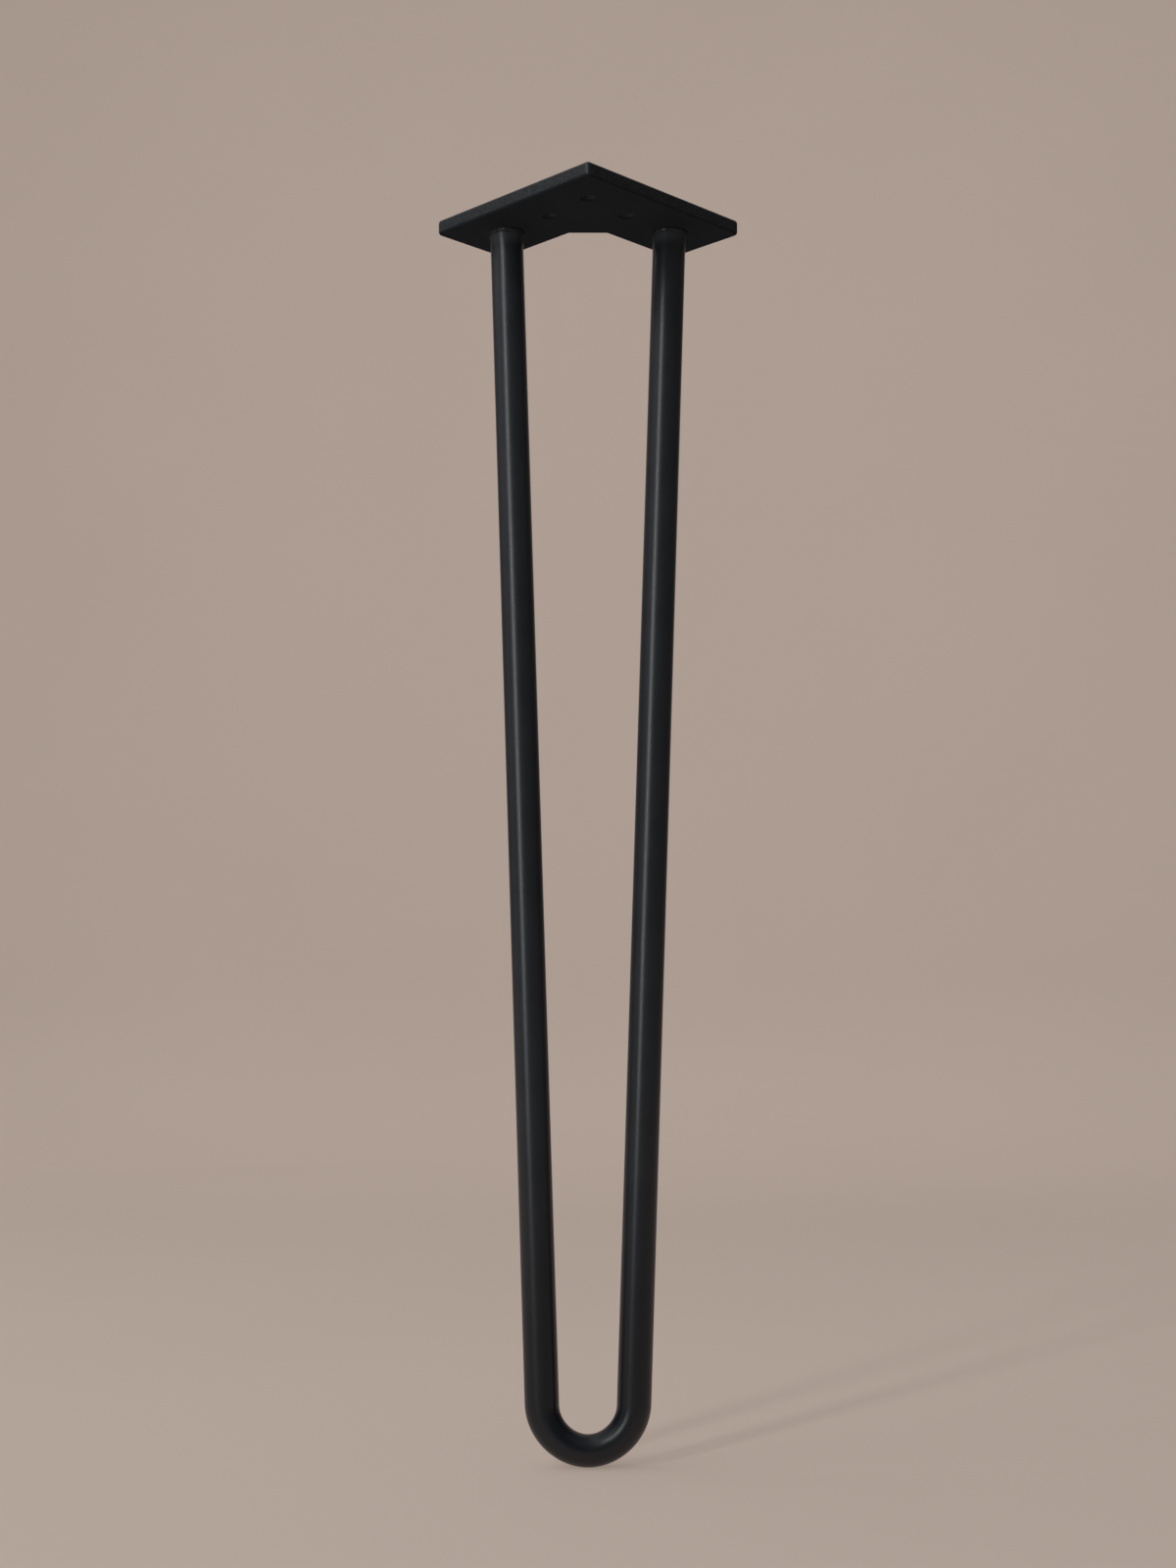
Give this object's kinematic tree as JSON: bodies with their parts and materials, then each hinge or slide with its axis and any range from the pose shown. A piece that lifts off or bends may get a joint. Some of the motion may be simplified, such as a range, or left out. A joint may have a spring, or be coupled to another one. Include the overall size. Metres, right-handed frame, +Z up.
{
  "type": "hairpin table leg",
  "caption": "Hairpin table leg: a round rod bent into a narrow, leaning U and welded under a right-angle plate that screws beneath a table's corner. Satin black.",
  "frame": {"origin": "on the plate's top face, on the leg's mirror plane, midway between the two arm screw holes", "axes": "+Z up out of the plate's top face, X across the two runs of the rod, -Y towards the plate's outer corner, which the foot leans out under"},
  "size_m": [0.1104, 0.0787, 0.4499],
  "materials": {
    "black_coat": "satin black powder coat over steel, with a fine orange peel"
  },
  "bodies": {
    "root": {"mounting_plate": "black_coat", "hairpin_rod": "black_coat", "weld_bead_left": "black_coat", "weld_bead_right": "black_coat"}
  },
  "joints": []
}
